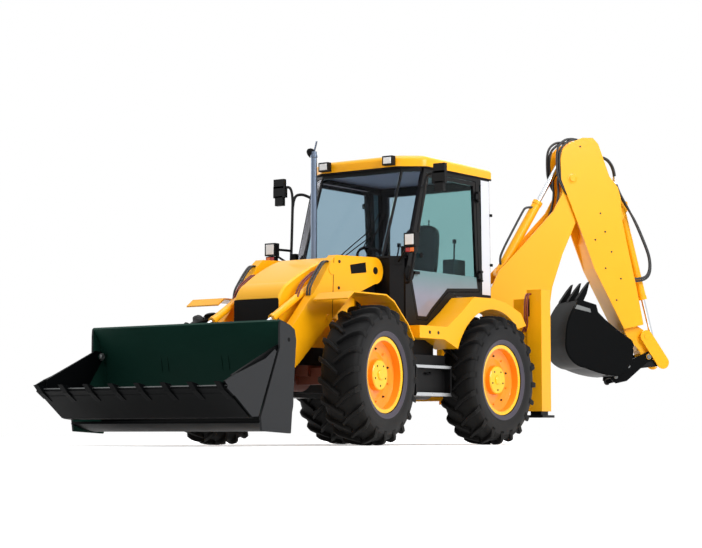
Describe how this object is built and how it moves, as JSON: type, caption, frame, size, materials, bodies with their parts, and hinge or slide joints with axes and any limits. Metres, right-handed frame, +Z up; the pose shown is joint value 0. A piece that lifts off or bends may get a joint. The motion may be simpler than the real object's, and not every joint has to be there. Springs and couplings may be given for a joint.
{
  "type": "backhoe loader",
  "caption": "Wheeled backhoe loader with a clam-type front bucket, glazed cab, stabilisers and a side-shifting, slewing backhoe with a telescopic dipper.",
  "frame": {"origin": "on the ground plane, on the machine's centreline, straight below the rear axle", "axes": "+X toward the loader bucket (forward), +Y toward the machine's left, +Z up"},
  "size_m": [8.118, 2.7875, 3.6728],
  "materials": {
    "body_yellow": "gloss paint",
    "rim_yellow": "satin paint",
    "tyre_black": "matt rubber",
    "frame_black": "satin paint",
    "bucket_grey": "satin paint",
    "chrome": "polished rod",
    "glass": "tinted",
    "dark_plastic": "moulded",
    "stack_steel": "heat-stained",
    "cast_grey": "painted casting",
    "chair_vinyl": "vinyl"
  },
  "bodies": {
    "chassis": {"chassis_frame": "frame_black", "engine_block": "cast_grey", "hood": "body_yellow", "grille": "dark_plastic", "front_axle": "cast_grey", "rear_axle": "cast_grey", "fenders": "body_yellow", "mudguards": "body_yellow", "side_tanks": "frame_black", "cab_frame": "frame_black", "cab_roof": "body_yellow", "cab_glass": "glass", "cab_interior": "dark_plastic", "driver_chair": "chair_vinyl", "exhaust_stack": "stack_steel", "lamps": "dark_plastic", "mirrors": "dark_plastic", "rear_frame": "body_yellow"},
    "wheel_rear_left": {"tyre_rear_left": "tyre_black", "rim_rear_left": "rim_yellow"},
    "wheel_rear_right": {"tyre_rear_right": "tyre_black", "rim_rear_right": "rim_yellow"},
    "knuckle_left": {"knuckle_front_left": "cast_grey"},
    "knuckle_right": {"knuckle_front_right": "cast_grey"},
    "track_rod": {"track_rod": "chrome"},
    "wheel_front_left": {"tyre_front_left": "tyre_black", "rim_front_left": "rim_yellow"},
    "wheel_front_right": {"tyre_front_right": "tyre_black", "rim_front_right": "rim_yellow"},
    "door_left": {"door_left": "frame_black", "door_pane_left": "glass"},
    "door_right": {"door_right": "frame_black", "door_pane_right": "glass"},
    "loader_arms": {"loader_arms": "body_yellow"},
    "lift_ram_barrels": {"lift_ram_barrels": "body_yellow"},
    "lift_ram_rods": {"lift_ram_rods": "chrome"},
    "tilt_ram_barrels": {"tilt_ram_barrels": "body_yellow"},
    "tilt_ram_rods": {"tilt_ram_rods": "chrome"},
    "bucket_back": {"bucket_back": "bucket_grey"},
    "bucket_clam": {"bucket_clam": "bucket_grey"},
    "stabiliser_left": {"stabiliser_leg_left": "frame_black"},
    "stabiliser_right": {"stabiliser_leg_right": "frame_black"},
    "hoe_carriage": {"hoe_carriage": "body_yellow"},
    "swing_post": {"swing_post": "body_yellow"},
    "boom": {"boom": "body_yellow"},
    "boom_ram_barrel": {"boom_ram_barrel": "body_yellow"},
    "boom_ram_rod": {"boom_ram_rod": "chrome"},
    "dipper": {"dipper": "body_yellow"},
    "crowd_ram_barrel": {"crowd_ram_barrel": "body_yellow"},
    "crowd_ram_rod": {"crowd_ram_rod": "chrome"},
    "dipper_extension": {"dipper_extension": "body_yellow"},
    "hoe_bucket": {"hoe_bucket": "bucket_grey"},
    "tipping_lever": {"tipping_lever": "body_yellow"},
    "tipping_link": {"tipping_link": "frame_black"},
    "curl_ram_barrel": {"curl_ram_barrel": "body_yellow"},
    "curl_ram_rod": {"curl_ram_rod": "chrome"}
  },
  "joints": [
    {"name": "wheel_rear_left_spin", "type": "hinge", "parent": "chassis", "child": "wheel_rear_left", "pos_m": [0, 0.975, 0.7], "axis": [0, 1, 0], "continuous": true},
    {"name": "wheel_rear_right_spin", "type": "hinge", "parent": "chassis", "child": "wheel_rear_right", "pos_m": [0, -0.975, 0.7], "axis": [0, 1, 0], "continuous": true},
    {"name": "steer_left", "type": "hinge", "parent": "chassis", "child": "knuckle_left", "pos_m": [2.22, 0.82, 0.7], "axis": [0, 0, 1], "range_deg": [-27, 13]},
    {"name": "steer_right", "type": "hinge", "parent": "chassis", "child": "knuckle_right", "pos_m": [2.22, -0.82, 0.7], "axis": [0, 0, 1], "range_deg": [-27, 13]},
    {"name": "track_rod_slide", "type": "slide", "parent": "chassis", "child": "track_rod", "axis": [0, 1, 0], "range_m": [-0.04, 0.082]},
    {"name": "wheel_front_left_spin", "type": "hinge", "parent": "knuckle_left", "child": "wheel_front_left", "pos_m": [2.20111, 0.97384, 0.7], "axis": [-0.1219, 0.9925, 0], "continuous": true},
    {"name": "wheel_front_right_spin", "type": "hinge", "parent": "knuckle_right", "child": "wheel_front_right", "pos_m": [2.23889, -0.97384, 0.7], "axis": [-0.1219, 0.9925, 0], "continuous": true},
    {"name": "door_left_swing", "type": "hinge", "parent": "chassis", "child": "door_left", "pos_m": [-0.202, 0.772, 1.69], "axis": [0.0575, 0, 0.9983], "range_deg": [0, 90]},
    {"name": "door_right_swing", "type": "hinge", "parent": "chassis", "child": "door_right", "pos_m": [-0.202, -0.772, 1.69], "axis": [-0.0575, 0, -0.9983], "range_deg": [0, 90]},
    {"name": "loader_lift", "type": "hinge", "parent": "chassis", "child": "loader_arms", "pos_m": [1.48, 0, 1.82], "axis": [0, -1, 0], "range_deg": [-2, 72]},
    {"name": "lift_ram_swing", "type": "hinge", "parent": "chassis", "child": "lift_ram_barrels", "pos_m": [1.29, 0, 0.96], "axis": [0, -1, 0], "range_deg": [-1.59, 39.71]},
    {"name": "lift_ram_stroke", "type": "slide", "parent": "lift_ram_barrels", "child": "lift_ram_rods", "axis": [0.9505, 0, 0.3106], "range_m": [-0.02421, 0.69645]},
    {"name": "bucket_tilt", "type": "hinge", "parent": "loader_arms", "child": "bucket_back", "pos_m": [3.59, 0, 0.4], "axis": [0, 1, 0], "range_deg": [0, 100]},
    {"name": "tilt_ram_swing", "type": "hinge", "parent": "loader_arms", "child": "tilt_ram_barrels", "pos_m": [2.25, 0, 1.7], "axis": [0, 1, 0], "range_deg": [-0.2, 7.7]},
    {"name": "tilt_ram_stroke", "type": "slide", "parent": "tilt_ram_barrels", "child": "tilt_ram_rods", "axis": [0.8636, 0, -0.5043], "range_m": [-0.002, 0.7274]},
    {"name": "clam_open", "type": "hinge", "parent": "bucket_back", "child": "bucket_clam", "pos_m": [3.84, 0, 0.88], "axis": [0, -1, 0], "range_deg": [0, 45]},
    {"name": "stabiliser_left_down", "type": "slide", "parent": "chassis", "child": "stabiliser_left", "axis": [0, 0, -1], "range_m": [0, 0.42]},
    {"name": "stabiliser_right_down", "type": "slide", "parent": "chassis", "child": "stabiliser_right", "axis": [0, 0, -1], "range_m": [0, 0.42]},
    {"name": "side_shift", "type": "slide", "parent": "chassis", "child": "hoe_carriage", "axis": [0, 1, 0], "range_m": [-0.44, 0.44]},
    {"name": "slew", "type": "hinge", "parent": "hoe_carriage", "child": "swing_post", "pos_m": [-1.36, 0, 0.9], "axis": [0, 0, 1], "range_deg": [-54, 126]},
    {"name": "boom_lower", "type": "hinge", "parent": "swing_post", "child": "boom", "pos_m": [-1.81305, 0.32916, 0.7], "axis": [-0.5878, -0.809, 0], "range_deg": [0, 100]},
    {"name": "boom_ram_swing", "type": "hinge", "parent": "swing_post", "child": "boom_ram_barrel", "pos_m": [-1.51371, 0.11168, 0.9], "axis": [-0.5878, -0.809, 0], "range_deg": [-0.2, 91.25]},
    {"name": "boom_ram_stroke", "type": "slide", "parent": "boom_ram_barrel", "child": "boom_ram_rod", "axis": [-0.0211, 0.0153, 0.9997], "range_m": [-0.002, 0.61518]},
    {"name": "dipper_swing", "type": "hinge", "parent": "boom", "child": "dipper", "pos_m": [-2.28228, 0.67007, 3.17], "axis": [0.5878, 0.809, 0], "range_deg": [0, 110]},
    {"name": "crowd_ram_swing", "type": "hinge", "parent": "boom", "child": "crowd_ram_barrel", "pos_m": [-1.56225, 0.14695, 2.02], "axis": [0.5878, 0.809, 0], "range_deg": [-3.61, 0.2]},
    {"name": "crowd_ram_stroke", "type": "slide", "parent": "crowd_ram_barrel", "child": "crowd_ram_rod", "axis": [-0.4086, 0.2968, 0.8631], "range_m": [-0.43309, 0.002]},
    {"name": "dipper_extend", "type": "slide", "parent": "dipper", "child": "dipper_extension", "axis": [-0.2937, 0.2134, -0.9318], "range_m": [0, 0.75]},
    {"name": "bucket_curl", "type": "hinge", "parent": "dipper_extension", "child": "hoe_bucket", "pos_m": [-3.08806, 1.25551, 1.047], "axis": [0.5878, 0.809, 0], "range_deg": [0, 165]},
    {"name": "lever_swing", "type": "hinge", "parent": "dipper_extension", "child": "tipping_lever", "pos_m": [-3.05894, 1.23435, 1.29], "axis": [0.5878, 0.809, 0], "range_deg": [-0.2, 97.23]},
    {"name": "link_swing", "type": "hinge", "parent": "tipping_lever", "child": "tipping_link", "pos_m": [-3.23287, 1.36072, 0.98], "axis": [0.5878, 0.809, 0], "range_deg": [-6.85, 0.2]},
    {"name": "curl_ram_swing", "type": "hinge", "parent": "dipper_extension", "child": "curl_ram_barrel", "pos_m": [-2.85264, 1.08446, 2.89], "axis": [0.5878, 0.809, 0], "range_deg": [-0.2, 8.06]},
    {"name": "curl_ram_stroke", "type": "slide", "parent": "curl_ram_barrel", "child": "curl_ram_rod", "axis": [-0.1933, 0.1404, -0.971], "range_m": [-0.51756, 0.002]}
  ],
  "couplings": [
    {"joint": "steer_right", "follows": "steer_left", "ratio": 1},
    {"joint": "track_rod_slide", "follows": "steer_left", "m_per_rad": -0.167},
    {"joint": "lift_ram_swing", "follows": "loader_lift", "ratio": 0.5446},
    {"joint": "lift_ram_stroke", "follows": "loader_lift", "m_per_rad": 0.55024},
    {"joint": "tilt_ram_swing", "follows": "bucket_tilt", "ratio": 0.07499},
    {"joint": "tilt_ram_stroke", "follows": "bucket_tilt", "m_per_rad": 0.41562},
    {"joint": "boom_ram_swing", "follows": "boom_lower", "ratio": 0.90748},
    {"joint": "boom_ram_stroke", "follows": "boom_lower", "m_per_rad": 0.35132},
    {"joint": "crowd_ram_swing", "follows": "dipper_swing", "ratio": -0.030976},
    {"joint": "crowd_ram_stroke", "follows": "dipper_swing", "m_per_rad": -0.22454},
    {"joint": "lever_swing", "follows": "bucket_curl", "ratio": 0.58806},
    {"joint": "link_swing", "follows": "bucket_curl", "ratio": -0.040311},
    {"joint": "curl_ram_swing", "follows": "bucket_curl", "ratio": 0.047655},
    {"joint": "curl_ram_stroke", "follows": "bucket_curl", "m_per_rad": -0.17903}
  ]
}
